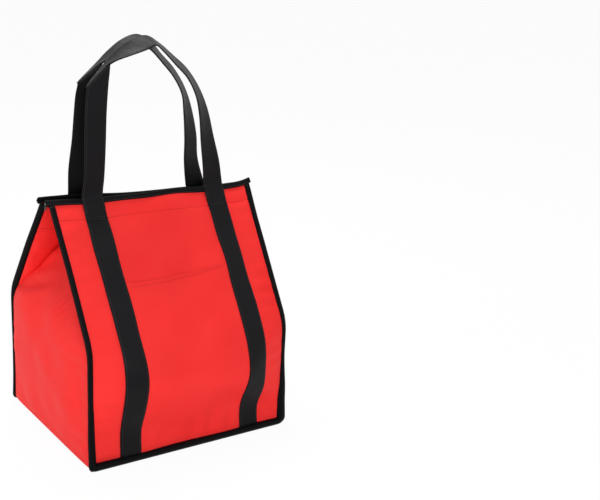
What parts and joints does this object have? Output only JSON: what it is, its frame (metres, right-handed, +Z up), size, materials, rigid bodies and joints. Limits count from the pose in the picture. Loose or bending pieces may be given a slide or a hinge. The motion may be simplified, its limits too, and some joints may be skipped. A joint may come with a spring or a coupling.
{
  "type": "insulated cooler bag",
  "caption": "Insulated tote with a flat base, gabled zipped mouth, folding side gussets, bound seams, sewn straps that rise as carrying loops, and a flat front pocket.",
  "frame": {"origin": "middle of the base, on the ground", "axes": "+Z up, X along the wide front and the zip, -Y towards the front pocket"},
  "size_m": [0.3618, 0.3505, 0.608],
  "materials": {
    "outer_cloth": "red non-woven cloth with a small pressed dot grid",
    "binding_tape": "black non-woven tape folded over the seams and stitched",
    "strap_webbing": "black non-woven strap with stitched edges",
    "foam": "white closed-cell foam",
    "foil_lining": "silver foil-faced film",
    "base_board": "stiff dark board",
    "zip_tape": "black woven zip tape",
    "zip_coil": "black plastic coil",
    "zip_metal": "bright plated metal"
  },
  "bodies": {
    "lower_body": {"gusset_base_shell": "outer_cloth", "gusset_base_lining": "foil_lining", "left_gusset_foam": "foam", "right_gusset_foam": "foam", "base_foam": "foam", "base_board": "base_board", "front_pocket_lower": "outer_cloth", "front_lower_shell": "outer_cloth", "front_lower_foam": "foam", "front_lower_lining": "foil_lining", "front_lower_binding": "binding_tape", "front_strap_lower_left": "strap_webbing", "front_strap_lower_right": "strap_webbing", "back_lower_shell": "outer_cloth", "back_lower_foam": "foam", "back_lower_lining": "foil_lining", "back_lower_binding": "binding_tape", "back_strap_lower_left": "strap_webbing", "back_strap_lower_right": "strap_webbing"},
    "front_wall": {"front_pocket_upper": "outer_cloth", "front_top_stop": "zip_metal", "front_upper_shell": "outer_cloth", "front_upper_foam": "foam", "front_upper_lining": "foil_lining", "front_upper_binding_left": "binding_tape", "front_upper_binding_right": "binding_tape", "front_strap_upper_left": "strap_webbing", "front_strap_upper_right": "strap_webbing", "front_top_binding": "binding_tape", "front_zip_tape": "zip_tape", "front_zip_coil": "zip_coil"},
    "back_wall": {"back_top_stop": "zip_metal", "zip_bottom_stop": "zip_metal", "back_upper_shell": "outer_cloth", "back_upper_foam": "foam", "back_upper_lining": "foil_lining", "back_upper_binding_left": "binding_tape", "back_upper_binding_right": "binding_tape", "back_strap_upper_left": "strap_webbing", "back_strap_upper_right": "strap_webbing", "back_top_binding": "binding_tape", "back_zip_tape": "zip_tape", "back_zip_coil": "zip_coil"},
    "left_fold": {"left_fold_shell": "outer_cloth", "left_fold_foam": "foam"},
    "right_fold": {"right_fold_shell": "outer_cloth", "right_fold_foam": "foam"},
    "front_left_pleat": {"front_pleat_left": "outer_cloth"},
    "front_right_pleat": {"front_pleat_right": "outer_cloth"},
    "back_left_pleat": {"back_pleat_left": "outer_cloth"},
    "back_right_pleat": {"back_pleat_right": "outer_cloth"},
    "front_handle": {"front_handle": "strap_webbing"},
    "back_handle": {"back_handle": "strap_webbing"},
    "slider": {"zip_slider": "zip_metal"},
    "pull": {"zip_pull": "zip_metal"}
  },
  "joints": [
    {"name": "mouth_front", "type": "hinge", "parent": "lower_body", "child": "front_wall", "pos_m": [0, -0.163, 0.1805], "axis": [1, 0, 0], "range_deg": [0, 20]},
    {"name": "mouth_back", "type": "hinge", "parent": "lower_body", "child": "back_wall", "pos_m": [0, 0.163, 0.1805], "axis": [-1, 0, 0], "range_deg": [0, 20]},
    {"name": "left_fold_hinge", "type": "hinge", "parent": "lower_body", "child": "left_fold", "pos_m": [-0.175, 0, 0.1805], "axis": [0, -1, 0], "range_deg": [0, 13.9]},
    {"name": "right_fold_hinge", "type": "hinge", "parent": "lower_body", "child": "right_fold", "pos_m": [0.175, 0, 0.1805], "axis": [0, 1, 0], "range_deg": [0, 13.9]},
    {"name": "front_left_pleat_hinge", "type": "hinge", "parent": "front_wall", "child": "front_left_pleat", "pos_m": [-0.1607, -0.13868, 0.17777], "axis": [0, 0.5578, 0.83], "range_deg": [0, 58.6]},
    {"name": "front_right_pleat_hinge", "type": "hinge", "parent": "front_wall", "child": "front_right_pleat", "pos_m": [0.1607, -0.13868, 0.17777], "axis": [0, -0.5578, -0.83], "range_deg": [0, 58.6]},
    {"name": "back_left_pleat_hinge", "type": "hinge", "parent": "back_wall", "child": "back_left_pleat", "pos_m": [-0.1607, 0.13868, 0.17777], "axis": [0, 0.5578, -0.83], "range_deg": [0, 58.6]},
    {"name": "back_right_pleat_hinge", "type": "hinge", "parent": "back_wall", "child": "back_right_pleat", "pos_m": [0.1607, 0.13868, 0.17777], "axis": [0, -0.5578, 0.83], "range_deg": [0, 58.6]},
    {"name": "front_handle_fold", "type": "hinge", "parent": "front_wall", "child": "front_handle", "pos_m": [0, -0.03793, 0.34687], "axis": [1, 0, 0], "range_deg": [0, 125]},
    {"name": "back_handle_fold", "type": "hinge", "parent": "back_wall", "child": "back_handle", "pos_m": [0, 0.03793, 0.34687], "axis": [-1, 0, 0], "range_deg": [0, 125]},
    {"name": "zip_slide", "type": "slide", "parent": "back_wall", "child": "slider", "axis": [1, 0, 0], "range_m": [0, 0.28]},
    {"name": "pull_swing", "type": "hinge", "parent": "slider", "child": "pull", "pos_m": [-0.141, 0, 0.367], "axis": [0, 1, 0], "range_deg": [0, 180]}
  ],
  "couplings": [
    {"joint": "mouth_back", "follows": "mouth_front", "ratio": 1},
    {"joint": "left_fold_hinge", "follows": "mouth_front", "ratio": 0.695},
    {"joint": "right_fold_hinge", "follows": "mouth_front", "ratio": 0.695},
    {"joint": "front_left_pleat_hinge", "follows": "mouth_front", "ratio": 2.93},
    {"joint": "front_right_pleat_hinge", "follows": "mouth_front", "ratio": 2.93},
    {"joint": "back_left_pleat_hinge", "follows": "mouth_front", "ratio": 2.93},
    {"joint": "back_right_pleat_hinge", "follows": "mouth_front", "ratio": 2.93}
  ]
}
